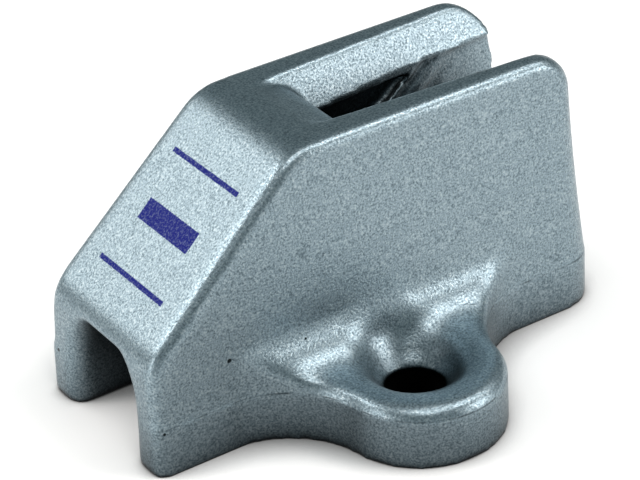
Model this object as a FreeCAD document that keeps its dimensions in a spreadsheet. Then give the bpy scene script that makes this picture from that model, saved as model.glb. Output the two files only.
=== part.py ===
"""Jam cleat: one aluminium casting with a roofed rope tunnel, a tapering jaw and two screw ears.

Millimetres, +Z up. The origin lies on the deck plane, midway between the two screw holes.
The rope comes in through the low front end at -X and leaves through the tall back end at +X.
"""
import FreeCAD, Part
import math
import os

import Sketcher
from FreeCAD import Vector

SIZES = {
    # Band below the parting line
    "band_width": 17.4,
    "band_height": 4.5,
    "band_draft": 1.0,
    "front_reach": 22.1,
    "back_reach": 24.0,
    "back_corner": 3.8,
    "parting_step": 0.07,
    # Housing above the parting line
    "body_height": 24.6,
    "side_draft": 3.2,
    "front_lean": 1.4,
    "back_lean": 7.6,
    "nose_height": 10.3,
    "ramp_angle": 43.8,
    "nose_radius": 4.0,
    "brow_radius": 5.0,
    "horn_radius": 4.2,
    "horn_corner": 1.9,
    "edge_radius": 1.0,
    # Screw ears
    "hole_pitch": 27.0,
    "ear_offset": 0.7,
    "ear_radius": 7.3,
    "ear_height": 5.6,
    "front_blend": 8.0,
    "back_blend": 8.6,
    "blend_angle": 8.0,
    "ear_root": 2.5,
    "cove_radius": 4.0,
    "rim_radius": 0.95,
    # Countersunk screw holes
    "bore": 5.0,
    "sink_depth": 2.6,
    "sink_angle": 82.0,
    # Rope slot in the top
    "slot_width": 9.1,
    "slot_flare": 3.6,
    "bevel_angle": 30.0,
    "bevel_depth": 4.6,
    "lip_front": 3.6,
    "lip_dip": 14.0,
    "lip_reach": 4.6,
    "lip_radius": 3.0,
    "lip_depth": 3.8,
    "slot_corner": 1.3,
    # Jaw below the slot
    "jaw_front": 6.0,
    "jaw_floor": 9.6,
    "jaw_drop": 3.1,
    "jaw_front_width": 3.8,
    "jaw_back_width": 10.2,
    "jaw_draft": 4.5,
    "floor_bevel": 0.7,
    "floor_slope": 40.0,
    # Teeth, left between slanting grooves in the walls of the jaw
    "groove_slope": 36.0,
    "groove_width": 1.1,
    "groove_pitch": 2.1,
    "groove_depth": 1.5,
    "groove_start": 14.0,
    "groove_end": 19.0,
    "groove_foot": 13.2,
    # Tunnel under the ramp
    "tunnel_width": 9.0,
    "tunnel_corner": 2.2,
    "mouth_radius": 1.8,
    "roof_wall": 2.8,
    "tunnel_foot": 14.0,
    "sill_angle": 38.0,
}
NODE = "cleat_body"
GROOVE_COUNT = 6
GAP = 0.02
MARGIN = 3.0
OVERLAP = 0.3
CLOSE = 1e-4
START, END, CENTRE = range(1, 4)
ORIGIN, X_AXIS, Y_AXIS = (-1, 1), -1, -2

# Inset of the housing's foot from the band's foot, as a value and as an expression
SHOULDER = "(Sizes.band_height * tan(Sizes.band_draft) + Sizes.parting_step)"

doc = FreeCAD.newDocument("JamCleat")


def tan(degrees):
    return math.tan(math.radians(degrees))


def sin(degrees):
    return math.sin(math.radians(degrees))


def cos(degrees):
    return math.cos(math.radians(degrees))


def size(name):
    return SIZES[name]


def inset(height):
    """How far the drafted sides stand inside the band's foot at a height."""
    if height < size("band_height"):
        return height * tan(size("band_draft"))
    shoulder = size("band_height") * tan(size("band_draft")) + size("parting_step")
    return shoulder + (height - size("band_height")) * tan(size("side_draft"))


def make_sheet():
    sheet = doc.addObject("Spreadsheet::Sheet", "Sizes")
    for row, (name, value) in enumerate(SIZES.items(), start=1):
        sheet.set(f"A{row}", name)
        sheet.set(f"B{row}", str(value))
        sheet.setAlias(f"B{row}", name)
    doc.recompute()


def arc(start, middle, end):
    """An arc through three points, always counter-clockwise as sketches keep them."""
    turn = (middle - start).cross(end - middle).z
    return Part.Arc(start, middle, end) if turn > 0 else Part.Arc(end, middle, start)


def rounded(corners, radii):
    """Edges of a closed polygon whose corners are rounded by the radii given by corner number."""
    legs = []
    arcs = {}
    for number, corner in enumerate(corners):
        radius = radii.get(number, 0)
        if not radius:
            legs.append((corner, corner))
            continue
        back = (corners[number - 1] - corner).normalize()
        ahead = (corners[(number + 1) % len(corners)] - corner).normalize()
        half_turn = back.getAngle(ahead) / 2
        tangent = radius / math.tan(half_turn)
        middle = (back + ahead).normalize() * (radius / math.sin(half_turn) - radius)
        legs.append((corner + back * tangent, corner + ahead * tangent))
        arcs[number] = arc(legs[-1][0], corner + middle, legs[-1][1])
    edges = []
    for number in range(len(corners)):
        if number in arcs:
            edges.append(arcs[number])
        edges.append(Part.LineSegment(legs[number][1], legs[(number + 1) % len(corners)][0]))
    return edges


class Profile:
    """A closed sketch on one of a body's own planes, with its sizes bound to the sheet."""

    def __init__(self, body, name, role, edges, sharp=(), height=None):
        self.sketch = body.newObject("Sketcher::SketchObject", name)
        plane = next(item for item in body.Origin.OriginFeatures if item.Role == role)
        self.sketch.AttachmentSupport = [(plane, "")]
        self.sketch.MapMode = "FlatFace"
        if height:
            self.sketch.setExpression("AttachmentOffset.Base.z", height)
        for edge in edges:
            self.sketch.addGeometry(edge, False)
        for number, edge in enumerate(edges):
            follower = (number + 1) % len(edges)
            curved = isinstance(edge, Part.Arc) or isinstance(edges[follower], Part.Arc)
            self.join(number, follower, curved and number not in sharp)

    def join(self, first, second, smooth):
        """Join the two ends at which neighbouring edges meet."""
        for end in (START, END):
            for start in (START, END):
                gap = self.sketch.getPoint(first, end) - self.sketch.getPoint(second, start)
                if gap.Length < CLOSE:
                    self.rule("Tangent" if smooth else "Coincident", first, end, second, start)
                    return

    def rule(self, kind, *places):
        return self.sketch.addConstraint(Sketcher.Constraint(kind, *places))

    def level(self, *edges):
        for edge in edges:
            self.rule("Horizontal", edge)

    def upright(self, *edges):
        for edge in edges:
            self.rule("Vertical", edge)

    def bind(self, number, expression):
        self.sketch.setExpression(f"Constraints[{number}]", expression)

    def place(self, edge, end, x=None, y=None):
        """Hold a point of an edge at bound distances from the origin."""
        point = self.sketch.getPoint(edge, end)
        if x is not None:
            self.bind(self.rule("DistanceX", *ORIGIN, edge, end, point.x), x)
        if y is not None:
            self.bind(self.rule("DistanceY", *ORIGIN, edge, end, point.y), y)

    def mark(self, point, *edges):
        """Add a construction point where the given edges, drawn on, would meet."""
        number = self.sketch.addGeometry(Part.Point(point), True)
        for edge in edges:
            self.rule("PointOnObject", number, START, edge)
        return number

    def radius(self, edge, expression):
        self.bind(self.rule("Radius", edge, self.sketch.Geometry[edge].Radius), expression)

    def angle(self, edge, expression):
        """Hold the direction of a line, from its start to its end."""
        run = self.sketch.getPoint(edge, END) - self.sketch.getPoint(edge, START)
        self.bind(self.rule("Angle", edge, math.atan2(run.y, run.x)), expression)


def add_body(name):
    return doc.addObject("PartDesign::Body", name)


def extrude(body, kind, name, profile, length, taper=None, both_ways=False):
    feature = body.newObject(f"PartDesign::{kind}", name)
    feature.Profile = profile.sketch
    feature.setExpression("Length", length)
    if taper:
        feature.setExpression("TaperAngle", taper)
    if both_ways:
        feature.SideType = "Symmetric"
    return feature


def side_form():
    """The housing seen from the side: front, ramp, top and back, drawn through its whole width."""
    front = -(size("front_reach") - inset(size("band_height")))
    nose = front + (size("nose_height") - size("band_height")) * tan(size("front_lean"))
    brow = nose + (size("body_height") - size("nose_height")) / tan(size("ramp_angle"))
    back = size("back_reach") - inset(size("band_height"))
    horn = back - (size("body_height") - size("band_height")) * tan(size("back_lean"))
    corners = [
        Vector(front, size("band_height")),
        Vector(nose, size("nose_height")),
        Vector(brow, size("body_height")),
        Vector(horn, size("body_height")),
        Vector(back, size("band_height")),
    ]
    radii = {1: size("nose_radius"), 2: size("brow_radius"), 3: size("horn_radius")}
    front_line, nose_arc, ramp, brow_arc, top, horn_arc, back_line, foot = range(8)
    body = add_body("SideForm")
    profile = Profile(body, "SideOutline", "XZ_Plane", rounded(corners, radii))
    profile.place(front_line, START, f"-(Sizes.front_reach - {SHOULDER})", "Sizes.band_height")
    profile.angle(front_line, "90 - Sizes.front_lean")
    profile.place(profile.mark(corners[1], front_line, ramp), START, y="Sizes.nose_height")
    profile.radius(nose_arc, "Sizes.nose_radius")
    profile.angle(ramp, "Sizes.ramp_angle")
    profile.radius(brow_arc, "Sizes.brow_radius")
    profile.level(top, foot)
    profile.place(top, START, y="Sizes.body_height")
    profile.radius(horn_arc, "Sizes.horn_radius")
    profile.angle(back_line, "Sizes.back_lean - 90")
    profile.place(foot, START, x=f"Sizes.back_reach - {SHOULDER}")
    extrude(body, "Pad", "SidePad", profile, "Sizes.band_width", both_ways=True)
    return body


def end_form():
    """The housing seen from the end: a wedge that narrows upward by the side draft."""
    top = size("body_height") + MARGIN
    half_foot = size("band_width") / 2 - inset(size("band_height"))
    half_top = size("band_width") / 2 - inset(top)
    corners = [
        Vector(-half_foot, size("band_height")),
        Vector(half_foot, size("band_height")),
        Vector(half_top, top),
        Vector(-half_top, top),
    ]
    foot, far_side, lid, near_side = range(4)
    body = add_body("EndForm")
    profile = Profile(body, "EndOutline", "YZ_Plane", rounded(corners, {}))
    profile.level(foot, lid)
    profile.place(foot, START, f"-(Sizes.band_width / 2 - {SHOULDER})", "Sizes.band_height")
    profile.place(foot, END, x=f"Sizes.band_width / 2 - {SHOULDER}")
    profile.place(lid, START, y=f"Sizes.body_height + {MARGIN}")
    profile.angle(far_side, "90 + Sizes.side_draft")
    profile.angle(near_side, "-90 - Sizes.side_draft")
    length = "2 * (Sizes.front_reach + Sizes.back_reach)"
    extrude(body, "Pad", "EndPad", profile, length, both_ways=True)
    return body


def side_edge_radii(block):
    """The rounding of each side edge: it widens round the horns and down the back corners."""
    tight = size("edge_radius")
    middle = size("horn_corner")
    wide = size("back_corner") - inset(size("band_height"))
    rounding = []
    for number, edge in enumerate(block.Edges, start=1):
        box = edge.BoundBox
        crosses_middle = box.YMin < 0 < box.YMax
        if crosses_middle or box.ZMax < size("band_height") + CLOSE:
            continue
        at_the_back = box.XMax > size("back_reach") / 2 and box.ZLength > CLOSE
        if not at_the_back:
            high, low = tight, tight
        elif box.ZMin < size("band_height") + CLOSE:
            high, low = middle, wide
        else:
            high, low = tight, middle
        falls = edge.valueAt(edge.FirstParameter).z > edge.valueAt(edge.LastParameter).z
        if edge.Orientation == "Reversed":
            falls = not falls
        rounding.append((number, high, low) if falls else (number, low, high))
    return rounding


def make_housing():
    block = doc.addObject("Part::MultiCommon", "HousingBlock")
    block.Shapes = [side_form(), end_form()]
    doc.recompute()
    housing = doc.addObject("Part::Fillet", "Housing")
    housing.Base = block
    housing.Edges = side_edge_radii(block.Shape)
    return housing


def band_plan(body):
    """The casting's footprint without its ears."""
    half = size("band_width") / 2
    corners = [
        Vector(-size("front_reach"), -half),
        Vector(size("back_reach"), -half),
        Vector(size("back_reach"), half),
        Vector(-size("front_reach"), half),
    ]
    front_corner = size("edge_radius") + inset(size("band_height"))
    radii = [front_corner, size("back_corner"), size("back_corner"), front_corner]
    edges = rounded(corners, dict(enumerate(radii)))
    profile = Profile(body, "BandOutline", "XY_Plane", edges)
    front_near, near, back_near, back, back_far, far, front_far, front = range(8)
    profile.level(near, far)
    profile.upright(front, back)
    profile.place(near, START, y="-Sizes.band_width / 2")
    profile.place(far, START, y="Sizes.band_width / 2")
    profile.place(front, START, x="-Sizes.front_reach")
    profile.place(back, START, x="Sizes.back_reach")
    for corner in (front_near, front_far):
        profile.radius(corner, f"Sizes.edge_radius + {SHOULDER}")
    for corner in (back_near, back_far):
        profile.radius(corner, "Sizes.back_corner")
    return profile


def ear_plan(body, name, height, inward, height_by, inward_by):
    """One screw ear from above: a round end that sweeps into the side by two hollow arcs.

    The hollow arcs cross the side at a small angle, so that the ear and the side meet cleanly.
    """
    half = size("band_width") / 2 - inward
    ear_y = -(size("hole_pitch") / 2 + size("ear_offset"))
    ear_radius = size("ear_radius") - inward
    root_y = -(half - size("ear_root"))

    def hollow(blend, side):
        radius = size(blend) + inward
        y = -(half + radius * cos(size("blend_angle")))
        x = side * math.sqrt((radius + ear_radius) ** 2 - (y - ear_y) ** 2)
        return Vector(x, y), radius

    ear = Vector(0, ear_y)
    front, front_radius = hollow("front_blend", -1)
    back, back_radius = hollow("back_blend", 1)
    front_start = front + Vector(0, front_radius)
    back_start = back + Vector(0, back_radius)
    front_touch = front + (ear - front).normalize() * front_radius
    back_touch = back + (ear - back).normalize() * back_radius
    front_middle = front + ((front_start + front_touch) * 0.5 - front).normalize() * front_radius
    back_middle = back + ((back_start + back_touch) * 0.5 - back).normalize() * back_radius
    front_root = Vector(front.x, root_y)
    back_root = Vector(back.x, root_y)
    edges = [
        Part.LineSegment(front_root, front_start),
        arc(front_start, front_middle, front_touch),
        arc(front_touch, ear + Vector(0, -ear_radius), back_touch),
        arc(back_touch, back_middle, back_start),
        Part.LineSegment(back_start, back_root),
        Part.LineSegment(back_root, front_root),
    ]
    front_wall, front_arc, ear_arc, back_arc, back_wall, root = range(6)
    profile = Profile(body, name, "XY_Plane", edges, sharp=(front_wall, back_arc), height=height_by)
    profile.upright(front_wall, back_wall)
    profile.level(root)
    half_by = f"(Sizes.band_width / 2 - {inward_by})"
    profile.place(root, START, y=f"-({half_by} - Sizes.ear_root)")
    profile.rule("PointOnObject", ear_arc, CENTRE, Y_AXIS)
    profile.place(ear_arc, CENTRE, y="-(Sizes.hole_pitch / 2 + Sizes.ear_offset)")
    profile.radius(ear_arc, f"Sizes.ear_radius - {inward_by}")
    for hollow_arc, wall, end, blend in (
        (front_arc, front_wall, END, "front_blend"),
        (back_arc, back_wall, START, "back_blend"),
    ):
        radius_by = f"(Sizes.{blend} + {inward_by})"
        profile.radius(hollow_arc, radius_by)
        profile.rule("Vertical", hollow_arc, CENTRE, wall, end)
        profile.place(hollow_arc, CENTRE, y=f"-({half_by} + {radius_by} * cos(Sizes.blend_angle))")
    return profile


def cove_profile(body):
    """The space above an ear, whose inner edge sweeps up into the side of the housing."""
    radius = size("cove_radius")
    low = size("ear_height")
    high = low + radius
    reach = -(size("hole_pitch") / 2 + size("ear_offset") + size("ear_radius") + MARGIN)
    side = size("band_width") / 2 - inset(high)
    centre_y = -(side + radius * cos(size("blend_angle")) / cos(size("side_draft")))
    diagonal = radius * math.sqrt(0.5)
    wall = centre_y + radius
    edges = [
        Part.LineSegment(Vector(reach, low), Vector(centre_y, low)),
        arc(Vector(centre_y, low), Vector(centre_y + diagonal, high - diagonal), Vector(wall, high)),
        Part.LineSegment(Vector(wall, high), Vector(wall, high + MARGIN)),
        Part.LineSegment(Vector(wall, high + MARGIN), Vector(reach, high + MARGIN)),
        Part.LineSegment(Vector(reach, high + MARGIN), Vector(reach, low)),
    ]
    ear_top, cove, inner, lid, outer = range(5)
    profile = Profile(body, "CoveOutline", "YZ_Plane", edges)
    profile.level(ear_top, lid)
    profile.upright(inner, outer)
    reach_by = f"-(Sizes.hole_pitch / 2 + Sizes.ear_offset + Sizes.ear_radius + {MARGIN})"
    profile.place(ear_top, START, reach_by, "Sizes.ear_height")
    profile.radius(cove, "Sizes.cove_radius")
    rise_by = "(Sizes.ear_height + Sizes.cove_radius - Sizes.band_height)"
    side_by = f"(Sizes.band_width / 2 - {SHOULDER} - {rise_by} * tan(Sizes.side_draft))"
    stand_off_by = "Sizes.cove_radius * cos(Sizes.blend_angle) / cos(Sizes.side_draft)"
    profile.place(cove, CENTRE, x=f"-({side_by} + {stand_off_by})")
    profile.place(lid, START, y=f"Sizes.ear_height + Sizes.cove_radius + {MARGIN}")
    return profile


def make_foot():
    """The band and the two ears, each ear in a lower tier and an upper one above the parting line."""
    body = add_body("Foot")
    extrude(body, "Pad", "Band", band_plan(body), "Sizes.band_height", "-Sizes.band_draft")
    low_plan = ear_plan(body, "EarBandOutline", 0, 0, None, "0")
    ear_band = extrude(body, "Pad", "EarBand", low_plan, "Sizes.band_height", "-Sizes.band_draft")
    start = size("band_height") - OVERLAP
    inward = inset(size("band_height")) - OVERLAP * tan(size("side_draft"))
    start_by = f"Sizes.band_height - {OVERLAP}"
    inward_by = f"({SHOULDER} - {OVERLAP} * tan(Sizes.side_draft))"
    high_plan = ear_plan(body, "EarTopOutline", start, inward, start_by, inward_by)
    rise = f"Sizes.ear_height + Sizes.cove_radius - ({start_by})"
    ear_top = extrude(body, "Pad", "EarTop", high_plan, rise, "-Sizes.side_draft")
    length = "Sizes.front_reach + Sizes.back_reach"
    cove = extrude(body, "Pocket", "Cove", cove_profile(body), length, both_ways=True)
    mirrored = body.newObject("PartDesign::Mirrored", "FarEar")
    mirrored.Originals = [ear_band, ear_top, cove]
    middle = next(item for item in body.Origin.OriginFeatures if item.Role == "XZ_Plane")
    mirrored.MirrorPlane = (middle, [""])
    body.Tip = mirrored
    return body


def rim_edges(shape):
    """The curved edges round the top of each ear, up to where they run out in the side."""
    low = size("ear_height") - CLOSE
    high = size("ear_height") + size("cove_radius") + CLOSE
    outside = size("band_width") / 2 + size("rim_radius") / 2
    found = []
    for number, edge in enumerate(shape.Edges, start=1):
        box = edge.BoundBox
        curved = edge.Curve.TypeId != "Part::GeomLine"
        reaches_out = max(abs(box.YMin), abs(box.YMax)) > outside
        if curved and reaches_out and box.ZMin > low and box.ZMax < high:
            found.append(number)
    return found


def make_casting():
    """Foot and housing as one piece, with the ears' top edges rounded."""
    joined = doc.addObject("Part::MultiFuse", "RawCasting")
    joined.Shapes = [make_foot(), make_housing()]
    joined.Refine = True
    doc.recompute()
    casting = doc.addObject("Part::Fillet", "Casting")
    casting.Base = joined
    radius = size("rim_radius")
    casting.Edges = [(number, radius, radius) for number in rim_edges(joined.Shape)]
    return casting


def add_slot(body):
    """The funnel of the top slot: two bevels that spread toward the back, and a rounded front."""
    front = -size("lip_front")
    back = size("back_reach") + MARGIN
    half = size("slot_width") / 2
    half_front = half + front * tan(size("slot_flare"))
    half_back = half + back * tan(size("slot_flare"))
    corners = [
        Vector(front, -half_front),
        Vector(back, -half_back),
        Vector(back, half_back),
        Vector(front, half_front),
    ]
    near_corner, near, back_end, far, far_corner, front_end = range(6)
    edges = rounded(corners, {0: size("slot_corner"), 3: size("slot_corner")})
    profile = Profile(body, "SlotOutline", "XY_Plane", edges, height="Sizes.body_height")
    profile.upright(back_end, front_end)
    profile.radius(near_corner, "Sizes.slot_corner")
    profile.radius(far_corner, "Sizes.slot_corner")
    profile.place(front_end, START, x="-Sizes.lip_front")
    profile.place(near, END, x=f"Sizes.back_reach + {MARGIN}")
    profile.angle(near, "-Sizes.slot_flare")
    profile.angle(far, "Sizes.slot_flare - 180")
    near_mark = profile.mark(Vector(0, -half), near, Y_AXIS)
    far_mark = profile.mark(Vector(0, half), far, Y_AXIS)
    profile.place(near_mark, START, y="-Sizes.slot_width / 2")
    profile.place(far_mark, START, y="Sizes.slot_width / 2")
    slot = extrude(body, "Pad", "Slot", profile, str(MARGIN))
    slot.SideType = "Two sides"
    slot.setExpression("Length2", "Sizes.bevel_depth")
    slot.setExpression("TaperAngle2", "-Sizes.bevel_angle")


def add_lip(body):
    """The roof's lip at the front of the slot: a gentle dip that rolls over and down."""
    top = size("body_height")
    high = top + 2 * MARGIN
    low = top - size("bevel_depth") - MARGIN
    far_front = -size("front_reach")
    end = size("lip_reach") - size("lip_front")
    entry = -size("lip_front") - OVERLAP / tan(size("lip_dip"))
    corners = [
        Vector(far_front, high),
        Vector(far_front, low),
        Vector(end, low),
        Vector(end, top - size("lip_reach") * tan(size("lip_dip"))),
        Vector(entry, top + OVERLAP),
        Vector(entry, high),
    ]
    front, foot, face, roll, dip, riser, lid = range(7)
    edges = rounded(corners, {3: size("lip_radius")})
    profile = Profile(body, "LipOutline", "XZ_Plane", edges)
    profile.upright(front, face, riser)
    profile.level(foot, lid)
    low_by = f"Sizes.body_height - Sizes.bevel_depth - {MARGIN}"
    profile.place(foot, START, "-Sizes.front_reach", low_by)
    profile.place(foot, END, x="Sizes.lip_reach - Sizes.lip_front")
    profile.radius(roll, "Sizes.lip_radius")
    profile.angle(dip, "180 - Sizes.lip_dip")
    rim = profile.mark(Vector(-size("lip_front"), top), dip)
    profile.place(rim, START, "-Sizes.lip_front", "Sizes.body_height")
    profile.place(dip, END, y=f"Sizes.body_height + {OVERLAP}")
    profile.place(lid, START, y=f"Sizes.body_height + {2 * MARGIN}")
    extrude(body, "Pocket", "Lip", profile, "Sizes.band_width", both_ways=True)


def add_tunnel(body):
    """The rope's way in: from the low front mouth, up under the ramp and out below the lip."""
    front = -(size("front_reach") + MARGIN)
    ceiling = size("body_height") - size("lip_depth")
    nose = (size("nose_height") - size("band_height")) * tan(size("front_lean"))
    nose -= size("front_reach") - inset(size("band_height"))
    under_nose = size("nose_height") - size("roof_wall") / cos(size("ramp_angle"))
    slope = tan(size("ramp_angle"))
    corners = [
        Vector(front, -MARGIN),
        Vector(-size("tunnel_foot") - MARGIN / tan(size("sill_angle")), -MARGIN),
        Vector(ceiling / tan(size("sill_angle")) - size("tunnel_foot"), ceiling),
        Vector(nose + (ceiling - under_nose) / slope, ceiling),
        Vector(front, under_nose + (front - nose) * slope),
    ]
    deck, sill, lid, roof, mouth = range(5)
    profile = Profile(body, "TunnelOutline", "XZ_Plane", rounded(corners, {}))
    profile.level(deck, lid)
    profile.upright(mouth)
    profile.place(deck, START, f"-(Sizes.front_reach + {MARGIN})", str(-MARGIN))
    profile.angle(sill, "Sizes.sill_angle")
    foot = profile.mark(Vector(-size("tunnel_foot"), 0), sill, X_AXIS)
    profile.place(foot, START, x="-Sizes.tunnel_foot")
    profile.place(lid, START, y="Sizes.body_height - Sizes.lip_depth")
    profile.angle(roof, "Sizes.ramp_angle - 180")
    nose_by = "(Sizes.nose_height - Sizes.band_height) * tan(Sizes.front_lean)"
    nose_by += f" - (Sizes.front_reach - {SHOULDER})"
    under_nose_by = "Sizes.nose_height - Sizes.roof_wall / cos(Sizes.ramp_angle)"
    below = profile.mark(Vector(nose, under_nose), roof)
    profile.place(below, START, nose_by, under_nose_by)
    tunnel = extrude(body, "Pad", "Tunnel", profile, "Sizes.tunnel_width", both_ways=True)
    doc.recompute()
    rounding = body.newObject("PartDesign::Fillet", "TunnelCorners")
    rounding.Base = (tunnel, roof_edges(tunnel.Shape))
    rounding.setExpression("Radius", "Sizes.tunnel_corner")
    add_mouth(body)


def add_mouth(body):
    """A block before the front face, rounded into the tunnel so that it leaves a smooth mouth."""
    far_front = -(size("front_reach") + MARGIN)
    face = -(size("front_reach") + GAP)
    top = size("nose_height") + size("mouth_radius")
    corners = [
        Vector(far_front, -MARGIN),
        Vector(face - MARGIN * tan(size("front_lean")), -MARGIN),
        Vector(face + top * tan(size("front_lean")), top),
        Vector(far_front, top),
    ]
    foot, back, lid, front = range(4)
    profile = Profile(body, "MouthOutline", "XZ_Plane", rounded(corners, {}))
    profile.level(foot, lid)
    profile.upright(front)
    profile.place(foot, START, f"-(Sizes.front_reach + {MARGIN})", str(-MARGIN))
    profile.angle(back, "90 - Sizes.front_lean")
    deck_mark = profile.mark(Vector(face, 0), back, X_AXIS)
    profile.place(deck_mark, START, x=f"-(Sizes.front_reach + {GAP})")
    profile.place(lid, START, y="Sizes.nose_height + Sizes.mouth_radius")
    width = "Sizes.tunnel_width + 4 * Sizes.mouth_radius"
    mouth = extrude(body, "Pad", "Mouth", profile, width, both_ways=True)
    doc.recompute()
    rounding = body.newObject("PartDesign::Fillet", "MouthRounding")
    rounding.Base = (mouth, mouth_edges(mouth.Shape))
    rounding.setExpression("Radius", "Sizes.mouth_radius")


def mouth_edges(shape):
    """The edges where the tunnel's walls and ceiling meet the block before the front face."""
    face = -(size("front_reach") + GAP)
    half = size("tunnel_width") / 2
    found = []
    for number, edge in enumerate(shape.Edges, start=1):
        middle = edge.valueAt((edge.FirstParameter + edge.LastParameter) / 2)
        on_face = abs(middle.x - face - middle.z * tan(size("front_lean"))) < CLOSE
        if on_face and abs(middle.y) < half + CLOSE and middle.z > -MARGIN + CLOSE:
            if middle.z < size("nose_height"):
                found.append(f"Edge{number}")
    return found


def roof_edges(shape):
    """The two edges where the tunnel's sloping ceiling meets its walls."""
    found = []
    for number, edge in enumerate(shape.Edges, start=1):
        box = edge.BoundBox
        rises = abs(box.ZLength - box.XLength * tan(size("ramp_angle"))) < CLOSE
        on_wall = box.YLength < CLOSE and abs(abs(box.YMin) - size("tunnel_width") / 2) < CLOSE
        if rises and on_wall and box.XLength > CLOSE:
            found.append(f"Edge{number}")
    return found


def bound(name):
    """A size as a value and as an expression."""
    return size(name), f"Sizes.{name}"


def jaw_section(body, name, place, width, floor):
    """The jaw's trough at one place; each size comes as a value and as an expression."""
    top = size("body_height") - size("jaw_drop")
    bevel_top = floor[0] + size("floor_bevel")
    half_top = width[0] / 2
    half_bevel = half_top - (top - bevel_top) * tan(size("jaw_draft"))
    half_floor = half_bevel - size("floor_bevel") / tan(size("floor_slope"))
    corners = [
        Vector(-half_floor, floor[0]),
        Vector(half_floor, floor[0]),
        Vector(half_bevel, bevel_top),
        Vector(half_top, top),
        Vector(-half_top, top),
        Vector(-half_bevel, bevel_top),
    ]
    base, far_bevel, far_flank, lid, near_flank, near_bevel = range(6)
    profile = Profile(body, name, "YZ_Plane", rounded(corners, {}), height=place[1])
    profile.level(base, lid)
    profile.place(base, START, y=floor[1])
    profile.place(far_bevel, END, y=f"{floor[1]} + Sizes.floor_bevel")
    profile.place(near_flank, END, y=f"{floor[1]} + Sizes.floor_bevel")
    profile.angle(far_bevel, "Sizes.floor_slope")
    profile.angle(near_bevel, "-Sizes.floor_slope")
    profile.angle(far_flank, "90 - Sizes.jaw_draft")
    profile.angle(near_flank, "Sizes.jaw_draft - 90")
    profile.place(lid, START, f"({width[1]}) / 2", "Sizes.body_height - Sizes.jaw_drop")
    profile.place(lid, END, x=f"-({width[1]}) / 2")
    return profile.sketch


def add_loft(body, name, front, back):
    loft = body.newObject("PartDesign::AdditiveLoft", name)
    loft.Profile = front
    loft.Sections = [back]
    loft.Ruled = True


def jaw_front():
    return -size("jaw_front"), "-Sizes.jaw_front"


def add_jaw(body):
    """The tapering trough that grips the rope, narrow toward the load and open at the back."""
    behind = (size("back_reach") + MARGIN, f"Sizes.back_reach + {MARGIN}")
    floor = bound("jaw_floor")
    front = jaw_section(body, "JawFront", jaw_front(), bound("jaw_front_width"), floor)
    back = jaw_section(body, "JawBack", behind, bound("jaw_back_width"), floor)
    add_loft(body, "Jaw", front, back)


def groove_room():
    """A wider jaw that the grooves may fill: deep at the front, run out in the walls at its back."""
    width, width_by = bound("jaw_front_width")
    deep = (width + 2 * size("groove_depth"), f"{width_by} + 2 * Sizes.groove_depth")
    length = size("back_reach") + MARGIN + size("jaw_front")
    length_by = f"(Sizes.back_reach + {MARGIN} + Sizes.jaw_front)"
    grown = (size("groove_end") + size("jaw_front")) / length
    grown_by = f"(Sizes.groove_end + Sizes.jaw_front) / {length_by}"
    shallow = (
        width + (size("jaw_back_width") - width) * grown,
        f"{width_by} + (Sizes.jaw_back_width - {width_by}) * {grown_by}",
    )
    foot = bound("groove_foot")
    body = add_body("GrooveRoom")
    front = jaw_section(body, "RoomFront", jaw_front(), deep, foot)
    back = jaw_section(body, "RoomBack", bound("groove_end"), shallow, foot)
    add_loft(body, "Room", front, back)
    return body


def groove_comb():
    """Slanting bars across the whole casting that run down toward the load."""
    low = size("jaw_floor") - MARGIN
    high = size("body_height") - size("jaw_drop")
    run = (high - low) / tan(size("groove_slope"))
    breadth = size("groove_width") / sin(size("groove_slope"))
    corners = [
        Vector(size("groove_start") - run, low),
        Vector(size("groove_start") - run + breadth, low),
        Vector(size("groove_start") + breadth, high),
        Vector(size("groove_start"), high),
    ]
    foot, back_side, lid, front_side = range(4)
    body = add_body("GrooveComb")
    profile = Profile(body, "GrooveOutline", "XZ_Plane", rounded(corners, {}))
    profile.level(foot, lid)
    profile.place(foot, START, y=f"Sizes.jaw_floor - {MARGIN}")
    profile.place(lid, END, "Sizes.groove_start", "Sizes.body_height - Sizes.jaw_drop")
    breadth_by = "Sizes.groove_width / sin(Sizes.groove_slope)"
    profile.place(lid, START, x=f"Sizes.groove_start + {breadth_by}")
    profile.angle(back_side, "Sizes.groove_slope")
    profile.angle(front_side, "Sizes.groove_slope - 180")
    bar = extrude(body, "Pad", "Groove", profile, "Sizes.tunnel_width", both_ways=True)
    pattern = body.newObject("PartDesign::LinearPattern", "Grooves")
    pattern.Originals = [bar]
    axis = next(item for item in body.Origin.OriginFeatures if item.Role == "X_Axis")
    pattern.Direction = (axis, [""])
    pattern.Occurrences = GROOVE_COUNT
    pattern.Mode = "Spacing"
    pattern.setExpression("Offset", "Sizes.groove_pitch / sin(Sizes.groove_slope)")
    body.Tip = pattern
    return body


def make_grooves():
    """The space of the grooves between the teeth of the jaw."""
    grooves = doc.addObject("Part::MultiCommon", "JawGrooves")
    grooves.Shapes = [groove_room(), groove_comb()]
    return grooves


def make_passage():
    """The space that the rope runs through, as one core."""
    body = add_body("Passage")
    add_slot(body)
    add_lip(body)
    add_tunnel(body)
    add_jaw(body)
    return body


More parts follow.
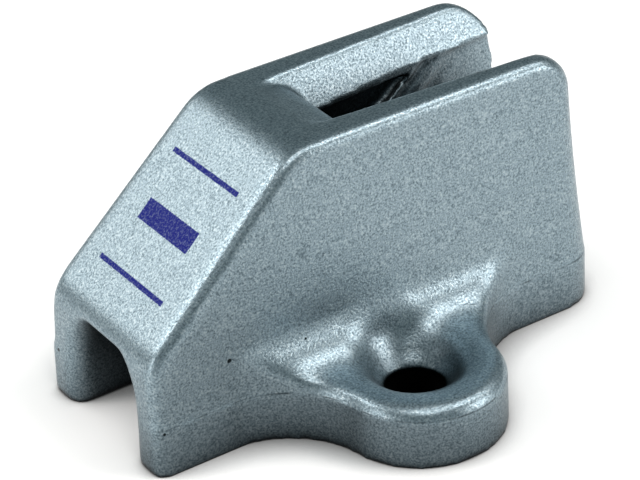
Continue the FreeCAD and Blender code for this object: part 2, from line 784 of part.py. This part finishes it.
def make_screw_space():
    """Bore, countersink and the room above it for the screw head, at the near ear."""
    axis = -size("hole_pitch") / 2
    top = size("ear_height") + size("cove_radius") + MARGIN
    sink_foot = size("ear_height") - size("sink_depth")
    bore_radius = size("bore") / 2
    head_radius = bore_radius + size("sink_depth") * tan(size("sink_angle") / 2)
    corners = [
        Vector(axis, -MARGIN),
        Vector(axis + bore_radius, -MARGIN),
        Vector(axis + bore_radius, sink_foot),
        Vector(axis + head_radius, size("ear_height")),
        Vector(axis + head_radius, top),
        Vector(axis, top),
    ]
    foot, bore, sink, head, lid, centre_line = range(6)
    body = add_body("ScrewSpace")
    profile = Profile(body, "ScrewOutline", "YZ_Plane", rounded(corners, {}))
    profile.level(foot, lid)
    profile.upright(bore, head, centre_line)
    profile.place(foot, START, "-Sizes.hole_pitch / 2", str(-MARGIN))
    profile.place(foot, END, x="(Sizes.bore - Sizes.hole_pitch) / 2")
    profile.place(sink, START, y="Sizes.ear_height - Sizes.sink_depth")
    profile.place(sink, END, y="Sizes.ear_height")
    profile.angle(sink, "90 - Sizes.sink_angle / 2")
    profile.place(lid, START, y=f"Sizes.ear_height + Sizes.cove_radius + {MARGIN}")
    turned = body.newObject("PartDesign::Revolution", "ScrewTurn")
    turned.Profile = profile.sketch
    turned.ReferenceAxis = (profile.sketch, [f"Edge{centre_line + START}"])
    far = doc.addObject("Part::Mirroring", "FarScrewSpace")
    far.Source = body
    far.Normal = Vector(0, 1, 0)
    return [body, far]


def make_cleat():
    spaces = doc.addObject("Part::MultiFuse", "Spaces")
    spaces.Shapes = [make_passage(), make_grooves()] + make_screw_space()
    cleat = doc.addObject("Part::Cut", "Cleat")
    cleat.Base = make_casting()
    cleat.Tool = spaces
    cleat.Refine = True
    cleat.Label = NODE
    cleat.Placement = FreeCAD.Placement()
    return cleat


def check(cleat):
    """Stop if a feature failed, a pocket cut nothing or the casting is not one sound solid."""
    for item in doc.Objects:
        if "Invalid" in item.State or "Error" in item.State:
            raise RuntimeError(f"{item.Name} failed: {item.State}")
        if item.TypeId == "PartDesign::Pocket":
            if item.Shape.Volume >= item.BaseFeature.Shape.Volume:
                raise RuntimeError(f"{item.Name} removes nothing")
    if cleat.Shape.isNull() or not cleat.Shape.isValid():
        raise RuntimeError("the casting is not sound")
    if len(cleat.Shape.Solids) != 1:
        raise RuntimeError("the casting is not one solid")


make_sheet()
cleat = make_cleat()
doc.recompute()
check(cleat)
os.makedirs("parts", exist_ok=True)
cleat.Shape.exportStep(f"parts/{NODE}.step")
box = cleat.Shape.BoundBox
print(f"{NODE}: {box.XLength:.2f} x {box.YLength:.2f} x {box.ZLength:.2f} mm,")
print(f"volume {cleat.Shape.Volume:.1f} mm3, {len(cleat.Shape.Faces)} faces")
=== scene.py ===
import math

import bpy
from mathutils import Matrix, Vector


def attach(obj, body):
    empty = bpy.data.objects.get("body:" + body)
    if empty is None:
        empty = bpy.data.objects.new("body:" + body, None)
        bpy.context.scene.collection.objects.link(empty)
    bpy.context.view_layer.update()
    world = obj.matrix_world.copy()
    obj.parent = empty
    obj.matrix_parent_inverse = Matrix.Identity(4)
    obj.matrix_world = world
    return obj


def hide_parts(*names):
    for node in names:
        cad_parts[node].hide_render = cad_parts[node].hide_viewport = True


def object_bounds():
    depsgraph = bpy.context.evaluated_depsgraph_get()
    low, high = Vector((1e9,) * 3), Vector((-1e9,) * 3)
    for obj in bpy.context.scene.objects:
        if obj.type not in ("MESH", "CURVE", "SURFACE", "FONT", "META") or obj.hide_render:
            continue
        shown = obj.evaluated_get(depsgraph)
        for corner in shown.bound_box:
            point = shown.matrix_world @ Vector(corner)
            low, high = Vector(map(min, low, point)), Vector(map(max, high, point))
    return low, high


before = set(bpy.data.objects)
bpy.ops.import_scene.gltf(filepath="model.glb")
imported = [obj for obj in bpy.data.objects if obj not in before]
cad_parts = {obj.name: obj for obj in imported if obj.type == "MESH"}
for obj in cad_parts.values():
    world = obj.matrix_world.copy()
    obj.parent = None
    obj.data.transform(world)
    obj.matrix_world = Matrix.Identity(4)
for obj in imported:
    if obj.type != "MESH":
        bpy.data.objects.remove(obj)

CAD_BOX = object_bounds()
NODE = "cleat_body"

# The frame is in metres. Lengths below are in millimetres unless a comment says otherwise.
MM = 0.001

# Camera, solved from the outline of the object in the photograph: angles in degrees
AZIMUTH = math.radians(-33.27)
ELEVATION = math.radians(31.20)
ROLL = math.radians(-2.39)
TARGET = Vector((0.0, -5.0, 10.0)) * MM
DISTANCE = 227.72 * MM
SIDEWAYS = 2.795 * MM
UPWARD = -2.409 * MM
CLIP_START = 10.0 * MM
FOCAL_PIXELS = 2728.8
IMAGE_WIDTH = 640
SENSOR = 36.0

# Lamps: direction from the object, then distance, width and height in metres, and power in watts
LAMP_COLOUR = (1.0, 0.95, 0.92)
LAMPS = {
    "RampLight": ((-0.50, 0.71, 0.49), 0.45, 0.30, 0.24, 0.54),
    "EdgeLight": ((-0.66, 0.34, 0.67), 0.50, 0.15, 0.15, 0.60),
    "SideLight": ((-0.98, 0.0, 0.21), 0.50, 0.22, 0.22, 0.52),
    "HighLight": ((0.0, -0.25, 0.85), 0.50, 0.56, 0.12, 0.58),
    "LowLight": ((0.66, -0.70, 0.27), 0.50, 0.18, 0.18, 0.75),
    "RightLight": ((0.71, -0.29, 0.64), 0.50, 0.22, 0.22, 0.27),
    "LeftLight": ((-0.20, -0.49, 0.85), 0.50, 0.18, 0.18, 0.48),
    "EarLight": ((0.47, -0.30, 0.83), 0.50, 0.16, 0.16, 0.52),
}
WORLD_COLOUR = (0.83, 0.98, 1.0)
WORLD_STRENGTH = 0.31

# Floor: white paper with a painted contact shadow, darker where the object closes the floor in.
# The lift is extra brightness that only the camera, reflections and transmission see.
FLOOR_SIZE = 4000.0
FLOOR_COLOURS = [(0.12, (0.01, 0.012, 0.015)), (0.62, (0.93, 0.93, 0.93))]
FLOOR_ROUGHNESS = 0.9
FLOOR_LIFT = 0.17
SHADOW_REACH, SHADOW_POWER = 6.0, 1.6

# A patch of the near floor that reflects dimmer, for the darker lower left side in the photograph
DIM_CENTRE = (-12.0, -19.0, 0.0)
DIM_INNER, DIM_OUTER = 12.0, 29.0
DIM_SHADE = 0.50

# Casting mesh: the grid of even faces, and the rounds of smoothing for the whole casting and for
# its ears, screw recesses, jaw and ramp edges, with the bounds of each
VOXEL = 0.28
SMOOTH_FACTOR = 0.5
SOFT_ROUNDS = 4
EAR_ROUNDS, EAR_START, EAR_LOW, EAR_HIGH = 36, 7.6, 4.7, 11.5
RECESS_ROUNDS, RECESS_START, RECESS_LOW, RECESS_RADIUS = 90, 8.0, 4.1, 5.9
JAW_ROUNDS, JAW_START, JAW_WIDTH, JAW_LOW, JAW_HIGH = 14, 2.0, 5.0, 9.0, 18.6
EDGE_ROUNDS, EDGE_START, EDGE_DEPTH = 12, 5.0, 2.2

# The ramp: its slope, and its foot as x and z
RAMP_ANGLE = math.radians(43.8)
RAMP_FOOT = (-21.9, 10.3)

# Screw holes, whose insides are painted dark as shade
HOLE_Y = 13.5
HOLE_RADIUS = 2.75
HOLE_TOP = 3.02
HOLE_BLUR = 0.12
BORE_SHADE = 0.06

# Metal: fine grains and soft clouds, whose scales count cells per metre, and painted shade in
# hollows and corners
GRAIN_SCALE, GRAIN_DETAIL, GRAIN_ROUGHNESS = 5600, 2.5, 0.62
CLOUD_SCALE, CLOUD_SHARE = 900, 0.07
METAL_COLOURS = [
    (0.29, (0.092, 0.126, 0.146)),
    (0.50, (0.222, 0.292, 0.330)),
    (0.72, (0.395, 0.468, 0.500)),
]
METAL_SPECULAR = 0.07
GLOSS_GRAIN, GLOSS_ROUGHNESS = (0.3, 0.7), (0.40, 0.29)
OPENNESS_SAMPLES = 12
DARK_REACH, DARK_POWER = 14.0, 1.5
DARK_OPENNESS, DARK_SHADE = (0.04, 0.60), (0.02, 1.0)
GRAIN_BUMP, GRAIN_BUMP_STRENGTH = 0.05, 0.62
CLOUD_BUMP, CLOUD_BUMP_STRENGTH = 0.12, 0.10

# Parting line of the casting: a low ledge with a broken darker line along it, on the outer faces
# only
PARTING_HEIGHT = 4.5
PARTING_STEP, PARTING_BLUR, PARTING_STRENGTH = 0.07, 0.125, 0.5
SEAM_WIDTH = 0.143
SEAM_DARKENING = 0.7
SEAM_PATCH_SCALE, SEAM_PATCHES = 450, (0.42, 0.62)
SEAM_START = 8.0
SEAM_BACK = 15.0
SINK_RADIUS = 5.6

# Casting pits seen in the photograph: place and radius
# Each pit is drawn as a spot of painted shade in the colour.
PITS = [
    ((-14.6, -8.35, 8.5), 0.24),
    ((-21.2, -8.6, 4.2), 0.17),
    ((-22.0, 7.0, 4.5), 0.20),
    ((-7.4, -8.6, 7.9), 0.15),
]
PIT_RANGE, PIT_SHADE = (0.0, 0.372), (1.0, 0.07)

# Plain blue print: distance up the ramp to each bar's middle, its length across and its height
PRINT_BARS = [(15.4, 9.6, 0.45), (10.1, 7.4, 2.00), (4.8, 9.6, 0.45)]
PRINT_BLUE = (0.004, 0.009, 0.16)
PRINT_DEPTH = 0.6
PRINT_BLUR, PRINT_DEPTH_BLUR = 0.03, 0.02
PRINT_WOBBLE_SCALE, PRINT_WOBBLE = 4000, 0.10
PRINT_GRAIN, PRINT_COVER = (0.46, 1.0), (1.0, 0.46)


class Field:
    """A number that varies over a surface, reckoned by the Math nodes of a material."""

    def __init__(self, tree, socket):
        self.tree = tree
        self.socket = socket

    def __add__(self, other):
        return reckon(self.tree, "ADD", self, other)

    def __sub__(self, other):
        return reckon(self.tree, "SUBTRACT", self, other)

    def __rsub__(self, other):
        return reckon(self.tree, "SUBTRACT", other, self)

    def __mul__(self, other):
        return reckon(self.tree, "MULTIPLY", self, other)

    def __truediv__(self, other):
        return reckon(self.tree, "DIVIDE", self, other)

    def __pow__(self, other):
        return reckon(self.tree, "POWER", self, other)

    def __gt__(self, other):
        return reckon(self.tree, "GREATER_THAN", self, other)

    def __abs__(self):
        return reckon(self.tree, "ABSOLUTE", self)


def reckon(tree, operation, *values):
    """The result of one Math node; each value is a field or a number."""
    node = tree.nodes.new("ShaderNodeMath")
    node.operation = operation
    for socket, value in zip(node.inputs, values):
        if isinstance(value, Field):
            tree.links.new(value.socket, socket)
        else:
            socket.default_value = value
    return Field(tree, node.outputs[0])


def smaller(first, second):
    return reckon(first.tree, "MINIMUM", first, second)


def larger(first, second):
    return reckon(first.tree, "MAXIMUM", first, second)


def hypotenuse(first, second):
    return reckon(first.tree, "SQRT", first * first + second * second)


def spread(field, source, target=(0.0, 1.0)):
    """Map one range of a field onto another, and hold it level outside that range."""
    node = field.tree.nodes.new("ShaderNodeMapRange")
    for name, value in zip(("From Min", "From Max", "To Min", "To Max"), (*source, *target)):
        node.inputs[name].default_value = value
    field.tree.links.new(field.socket, node.inputs["Value"])
    return Field(field.tree, node.outputs["Result"])


def soft_step(field, blur, target=(0.0, 1.0)):
    """The first target below zero and the second above it, blurred over a short distance."""
    return spread(field, (-blur, blur), target)


def vector_node(tree, operation, vector):
    node = tree.nodes.new("ShaderNodeVectorMath")
    node.operation = operation
    tree.links.new(vector, node.inputs[0])
    return node


def tint(colour, field):
    """Multiply a colour by a field."""
    node = vector_node(field.tree, "SCALE", colour)
    field.tree.links.new(field.socket, node.inputs["Scale"])
    return node.outputs["Vector"]


def position(tree):
    """The place on the object, as a vector in metres and as x, y and z in millimetres."""
    place = tree.nodes.new("ShaderNodeTexCoord").outputs["Object"]
    parts = tree.nodes.new("ShaderNodeSeparateXYZ")
    tree.links.new(place, parts.inputs[0])
    return place, [Field(tree, parts.outputs[axis]) / MM for axis in "XYZ"]


def gap_to(tree, place, centre):
    """Distance in millimetres from a centre."""
    node = vector_node(tree, "DISTANCE", place)
    node.inputs[1].default_value = [value * MM for value in centre]
    return Field(tree, node.outputs["Value"]) / MM


def noise(tree, place, scale, detail=2.0, roughness=0.5):
    node = tree.nodes.new("ShaderNodeTexNoise")
    node.inputs["Scale"].default_value = scale
    node.inputs["Detail"].default_value = detail
    node.inputs["Roughness"].default_value = roughness
    tree.links.new(place, node.inputs["Vector"])
    return Field(tree, node.outputs["Fac"])


def openness(tree, reach, power):
    """1 where a place is open to the light, and near 0 deep in a hole."""
    node = tree.nodes.new("ShaderNodeAmbientOcclusion")
    node.samples = OPENNESS_SAMPLES
    node.inputs["Distance"].default_value = reach * MM
    return Field(tree, node.outputs["AO"]) ** power


def colours(field, stops):
    """Turn a field into a colour; each stop is a position and a colour."""
    node = field.tree.nodes.new("ShaderNodeValToRGB")
    elements = node.color_ramp.elements
    while len(elements) < len(stops):
        elements.new(0.5)
    for element, (spot, colour) in zip(elements, stops):
        element.position = spot
        element.color = (*colour, 1)
    field.tree.links.new(field.socket, node.inputs["Fac"])
    return node.outputs["Color"]


def add_bump(height, distance, strength, before=None):
    """Normals of a surface raised by a field times a distance, on top of an earlier bump."""
    tree = height.tree
    bump = tree.nodes.new("ShaderNodeBump")
    bump.inputs["Strength"].default_value = strength
    bump.inputs["Distance"].default_value = distance * MM
    tree.links.new(height.socket, bump.inputs["Height"])
    if before:
        tree.links.new(before, bump.inputs["Normal"])
    return bump.outputs["Normal"]


def new_material(name):
    material = bpy.data.materials.new(name)
    material.use_nodes = True
    tree = material.node_tree
    return material, tree, tree.nodes["Principled BSDF"].inputs


def add_to_scene(name, data):
    item = bpy.data.objects.new(name, data)
    bpy.context.scene.collection.objects.link(item)
    return item


def set_world():
    world = bpy.data.worlds.new("Studio")
    bpy.context.scene.world = world
    world.use_nodes = True
    background = world.node_tree.nodes["Background"].inputs
    background["Color"].default_value = (*WORLD_COLOUR, 1)
    background["Strength"].default_value = WORLD_STRENGTH


def add_lamps():
    """Rectangular lamps that face the object; the width of each runs level."""
    for name, (direction, distance, width, height, watts) in LAMPS.items():
        lamp = bpy.data.lights.new(name, "AREA")
        lamp.shape = "RECTANGLE"
        lamp.size = width
        lamp.size_y = height
        lamp.energy = watts
        lamp.color = LAMP_COLOUR
        away = Vector(direction).normalized()
        item = add_to_scene(name, lamp)
        item.location = TARGET + away * distance
        item.rotation_euler = away.to_track_quat("Z", "Y").to_euler()


def add_camera():
    back = Vector((
        math.sin(AZIMUTH) * math.cos(ELEVATION),
        -math.cos(AZIMUTH) * math.cos(ELEVATION),
        math.sin(ELEVATION),
    ))
    level = Vector((math.cos(AZIMUTH), math.sin(AZIMUTH), 0.0))
    plumb = back.cross(level)
    right = level * math.cos(ROLL) + plumb * math.sin(ROLL)
    up = plumb * math.cos(ROLL) - level * math.sin(ROLL)
    place = TARGET + back * DISTANCE - right * SIDEWAYS - up * UPWARD
    camera = bpy.data.cameras.new("Camera")
    camera.sensor_width = SENSOR
    camera.lens = SENSOR * FOCAL_PIXELS / IMAGE_WIDTH
    camera.clip_start = CLIP_START
    item = add_to_scene("Camera", camera)
    turn = Matrix((right, up, back)).transposed()
    item.matrix_world = Matrix.Translation(place) @ turn.to_4x4()
    bpy.context.scene.camera = item


def floor_paper():
    material, tree, shader = new_material("FloorPaper")
    place = position(tree)[0]
    rays = tree.nodes.new("ShaderNodeLightPath").outputs
    camera, glossy, through = (
        Field(tree, rays[f"Is {kind} Ray"]) for kind in ("Camera", "Glossy", "Transmission")
    )
    # Painted shadow: the floor's colour and lift darken where the object closes the floor in.
    clear = openness(tree, SHADOW_REACH, SHADOW_POWER)
    # Painted shade: a patch of floor that only reflections see darker, which darkens the lower
    # left side of the casting.
    dim = spread(gap_to(tree, place, DIM_CENTRE), (DIM_INNER, DIM_OUTER), (DIM_SHADE, 1.0))
    bright = larger(dim, camera)
    lift = larger(camera, larger(glossy, through)) * clear * FLOOR_LIFT * bright
    tree.links.new(tint(colours(clear, FLOOR_COLOURS), bright), shader["Base Color"])
    tree.links.new(lift.socket, shader["Emission Strength"])
    shader["Emission Color"].default_value = (1, 1, 1, 1)
    shader["Roughness"].default_value = FLOOR_ROUGHNESS
    return material


def add_floor():
    bpy.ops.mesh.primitive_plane_add(size=FLOOR_SIZE * MM, location=(0, 0, 0))
    floor = bpy.context.object
    floor.name = "Floor"
    floor.data.materials.append(floor_paper())


def ramp_height(x, z):
    """How far a place lies above the ramp's face; x and z are fields or numbers."""
    foot_x, foot_z = RAMP_FOOT
    return (z - foot_z) * math.cos(RAMP_ANGLE) - (x - foot_x) * math.sin(RAMP_ANGLE)


def ramp_run(x, z):
    """How far a place lies up the ramp from its foot."""
    foot_x, foot_z = RAMP_FOOT
    return (x - foot_x) * math.cos(RAMP_ANGLE) + (z - foot_z) * math.sin(RAMP_ANGLE)


def print_mask(tree, place, x, y, z):
    """1 on the bars of print, which lie flat on the ramp and have slightly uneven edges."""
    run = ramp_run(x, z)
    wobble = (noise(tree, place, PRINT_WOBBLE_SCALE) - 0.5) * PRINT_WOBBLE
    mask = None
    for middle, length, height in PRINT_BARS:
        room = smaller(height / 2 - abs(run - middle), length / 2 - abs(y))
        bar = soft_step(room + wobble, PRINT_BLUR)
        mask = bar if mask is None else larger(mask, bar)
    return mask * soft_step(ramp_height(x, z) + PRINT_DEPTH, PRINT_DEPTH_BLUR)


def pit_depth(tree, place):
    """1 in the middle of a casting pit and 0 outside every pit."""
    deepest = None
    for centre, radius in PITS:
        depth = spread(gap_to(tree, place, centre), (0.0, radius), (1.0, 0.0))
        deepest = depth if deepest is None else larger(deepest, depth)
    return deepest


def on_outside(x, half_width, from_hole):
    """1 on the outer sides and the back, where the parting line runs, and 0 on other faces."""
    outer = larger(half_width > SEAM_START, x > SEAM_BACK)
    return outer * (from_hole > SINK_RADIUS)


def seam_mark(tree, place, above):
    """1 on the broken darker line along the parting line, and 0 off it."""
    patches = spread(noise(tree, place, SEAM_PATCH_SCALE), SEAM_PATCHES)
    return spread(abs(above), (0.0, SEAM_WIDTH), (1.0, 0.0)) * patches


def cast_aluminium():
    """Blasted and tumbled cast aluminium: a satin blue-grey with fine bright grains."""
    material, tree, shader = new_material("CastAluminium")
    place, (x, y, z) = position(tree)
    half_width = abs(y)
    from_hole = hypotenuse(x, half_width - HOLE_Y)
    above_parting = z - PARTING_HEIGHT
    outside = on_outside(x, half_width, from_hole)
    grain = noise(tree, place, GRAIN_SCALE, GRAIN_DETAIL, GRAIN_ROUGHNESS)
    cloud = noise(tree, place, CLOUD_SCALE)
    speck = grain + (cloud - 0.5) * CLOUD_SHARE

    # Painted shade: the insides of the screw holes are coloured near black.
    bore = soft_step(larger(from_hole - HOLE_RADIUS, z - HOLE_TOP), HOLE_BLUR, (BORE_SHADE, 1.0))
    # Painted shade: the colour darkens in hollows and corners, where little light reaches.
    shade = spread(openness(tree, DARK_REACH, DARK_POWER), DARK_OPENNESS, DARK_SHADE) * bore
    # Painted shade: a dark spot in each casting pit.
    shade *= spread(pit_depth(tree, place), PIT_RANGE, PIT_SHADE)
    shade *= 1.0 - seam_mark(tree, place, above_parting) * outside * SEAM_DARKENING

    ink = print_mask(tree, place, x, y, z) * spread(grain, PRINT_GRAIN, PRINT_COVER)
    mix = tree.nodes.new("ShaderNodeMix")
    mix.data_type = "RGBA"
    mix.inputs["B"].default_value = (*PRINT_BLUE, 1)
    tree.links.new(tint(colours(speck, METAL_COLOURS), shade), mix.inputs["A"])
    tree.links.new(ink.socket, mix.inputs["Factor"])
    tree.links.new(mix.outputs["Result"], shader["Base Color"])
    tree.links.new((1.0 - ink).socket, shader["Metallic"])
    tree.links.new(spread(speck, GLOSS_GRAIN, GLOSS_ROUGHNESS).socket, shader["Roughness"])
    shader["Specular IOR Level"].default_value = METAL_SPECULAR

    ledge = soft_step(above_parting, PARTING_BLUR, (1.0, 0.0)) * outside
    normal = add_bump(ledge, PARTING_STEP, PARTING_STRENGTH)
    normal = add_bump(grain, GRAIN_BUMP, GRAIN_BUMP_STRENGTH, normal)
    normal = add_bump(cloud, CLOUD_BUMP, CLOUD_BUMP_STRENGTH, normal)
    tree.links.new(normal, shader["Normal"])
    return material


def everywhere(x, y, z):
    return True


def in_ears(x, y, z):
    return abs(y) > EAR_START and EAR_LOW < z < EAR_HIGH


def in_recess(x, y, z):
    near_hole = math.hypot(x, abs(y) - HOLE_Y) < RECESS_RADIUS
    return near_hole and abs(y) > RECESS_START and z > RECESS_LOW


def in_jaw(x, y, z):
    return x > JAW_START and abs(y) < JAW_WIDTH and JAW_LOW < z < JAW_HIGH


def in_ramp_edges(x, y, z):
    return abs(y) > EDGE_START and ramp_height(x, z) > -EDGE_DEPTH and x < 0


SMOOTH_ZONES = {
    "all": (SOFT_ROUNDS, everywhere),
    "ears": (EAR_ROUNDS, in_ears),
    "recess": (RECESS_ROUNDS, in_recess),
    "jaw": (JAW_ROUNDS, in_jaw),
    "ramp_edges": (EDGE_ROUNDS, in_ramp_edges),
}


def apply_modifiers(piece):
    depsgraph = bpy.context.evaluated_depsgraph_get()
    mesh = bpy.data.meshes.new_from_object(piece.evaluated_get(depsgraph))
    piece.modifiers.clear()
    piece.data = mesh


def make_even(piece):
    """Rebuild the surface from small even faces."""
    remesh = piece.modifiers.new("Even", "REMESH")
    remesh.mode = "VOXEL"
    remesh.voxel_size = VOXEL * MM
    apply_modifiers(piece)


def soften(piece):
    """Smooth the whole casting lightly, and the zones with larger roundings more."""
    for name, (rounds, inside) in SMOOTH_ZONES.items():
        chosen = [v.index for v in piece.data.vertices if inside(*(v.co / MM))]
        piece.vertex_groups.new(name=name).add(chosen, 1.0, "REPLACE")
        smooth = piece.modifiers.new(name, "SMOOTH")
        smooth.factor = SMOOTH_FACTOR
        smooth.iterations = rounds
        smooth.vertex_group = name
    apply_modifiers(piece)


def keep_in_box(mesh):
    low, high = CAD_BOX
    for vertex in mesh.vertices:
        for axis in range(3):
            vertex.co[axis] = min(max(vertex.co[axis], low[axis]), high[axis])


def add_casting():
    """The casting with the soft edges of a real one, in place of the CAD node's mesh."""
    piece = add_to_scene("casting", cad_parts[NODE].data.copy())
    make_even(piece)
    soften(piece)
    keep_in_box(piece.data)
    piece.data.materials.clear()
    piece.data.materials.append(cast_aluminium())
    piece.data.shade_smooth()
    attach(piece, "root")
    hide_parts(NODE)


bpy.context.scene.view_settings.view_transform = "Standard"
set_world()
add_lamps()
add_camera()
add_floor()
add_casting()

bpy.context.view_layer.update()
